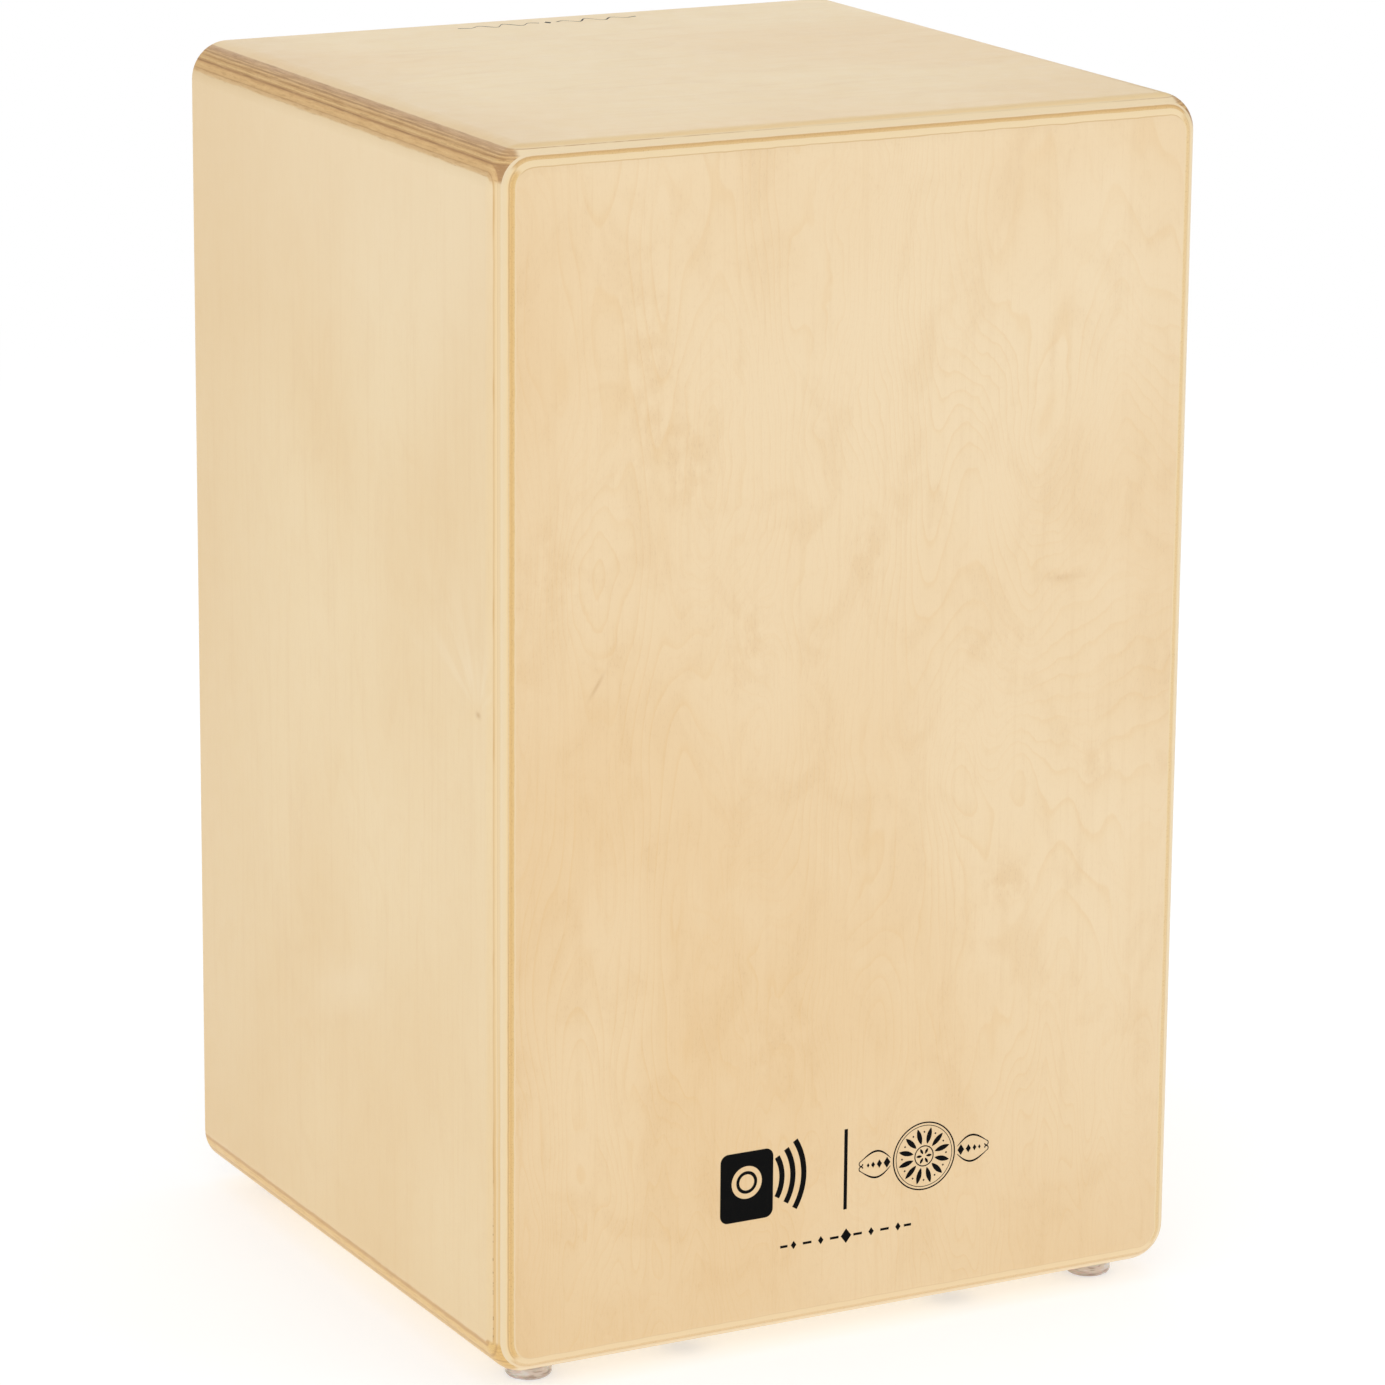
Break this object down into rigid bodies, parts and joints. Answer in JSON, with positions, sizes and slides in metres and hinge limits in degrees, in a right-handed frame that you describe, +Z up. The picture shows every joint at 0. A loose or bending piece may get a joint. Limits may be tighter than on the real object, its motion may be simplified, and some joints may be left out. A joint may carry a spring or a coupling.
{
  "type": "cajon",
  "caption": "Plywood box drum to sit on, with a thin front playing plate, a round sound hole in the back, inner strings with tension bolts under the box, and clear rubber feet.",
  "frame": {"origin": "on the floor, under the middle of the box", "axes": "+Z up, -Y towards the audience out of the tapa, +Y out of the sound hole, +X to the right seen from the front"},
  "size_m": [0.3, 0.28, 0.48],
  "materials": {
    "tapa_veneer": "satin clear lacquer over vertical-grain birch veneer",
    "top_birch_ply": "satin clear lacquer, face grain left to right, brown end grain at the ends",
    "body_birch_ply": "satin clear lacquer over vertical-grain birch plywood",
    "back_birch_ply": "satin clear lacquer over thin birch plywood",
    "batten_softwood": "planed, unfinished",
    "clear_rubber": "translucent, satin",
    "zinc_steel": "bright zinc",
    "dark_steel": "blackened",
    "brass_bush": "turned",
    "nylon_collar": "natural nylon",
    "wound_string": "bronze-wound steel"
  },
  "bodies": {
    "cabinet": {"back_panel": "back_birch_ply", "bottom_panel": "body_birch_ply", "foot_screws": "zinc_steel", "foot_washers": "zinc_steel", "front_left_foot": "clear_rubber", "front_right_foot": "clear_rubber", "left_front_batten": "batten_softwood", "left_guide_pin": "dark_steel", "left_side_panel": "body_birch_ply", "left_string": "wound_string", "left_tension_bush": "brass_bush", "lower_front_batten": "batten_softwood", "lower_left_corner_batten": "batten_softwood", "lower_right_corner_batten": "batten_softwood", "rear_left_foot": "clear_rubber", "rear_right_foot": "clear_rubber", "right_front_batten": "batten_softwood", "right_guide_pin": "dark_steel", "right_side_panel": "body_birch_ply", "right_string": "wound_string", "right_tension_bush": "brass_bush", "string_anchor_bar": "batten_softwood", "string_anchor_pins": "zinc_steel", "tapa": "tapa_veneer", "top_panel": "top_birch_ply", "upper_front_batten": "batten_softwood", "upper_left_corner_batten": "batten_softwood", "upper_right_corner_batten": "batten_softwood"},
    "left_tension_bolt": {"left_tension_bolt": "dark_steel", "left_tension_washer": "zinc_steel", "left_retaining_collar": "nylon_collar"},
    "right_tension_bolt": {"right_tension_bolt": "dark_steel", "right_tension_washer": "zinc_steel", "right_retaining_collar": "nylon_collar"},
    "left_string_carriage": {"left_string_carriage": "dark_steel"},
    "right_string_carriage": {"right_string_carriage": "dark_steel"}
  },
  "joints": [
    {"name": "left_bolt_turn", "type": "hinge", "parent": "cabinet", "child": "left_tension_bolt", "pos_m": [-0.06, -0.119, 0.01], "axis": [0, 0, 1], "range_deg": [-1083, 1083]},
    {"name": "left_string_tension", "type": "slide", "parent": "cabinet", "child": "left_string_carriage", "axis": [0, 0, -1], "range_m": [-0.003, 0.003], "deforming": ["left_string"]},
    {"name": "right_bolt_turn", "type": "hinge", "parent": "cabinet", "child": "right_tension_bolt", "pos_m": [0.06, -0.119, 0.01], "axis": [0, 0, 1], "range_deg": [-1083, 1083]},
    {"name": "right_string_tension", "type": "slide", "parent": "cabinet", "child": "right_string_carriage", "axis": [0, 0, -1], "range_m": [-0.003, 0.003], "deforming": ["right_string"]}
  ],
  "couplings": [
    {"joint": "left_bolt_turn", "follows": "left_string_tension", "rad_per_m": 6283.2},
    {"joint": "right_bolt_turn", "follows": "right_string_tension", "rad_per_m": 6283.2}
  ]
}
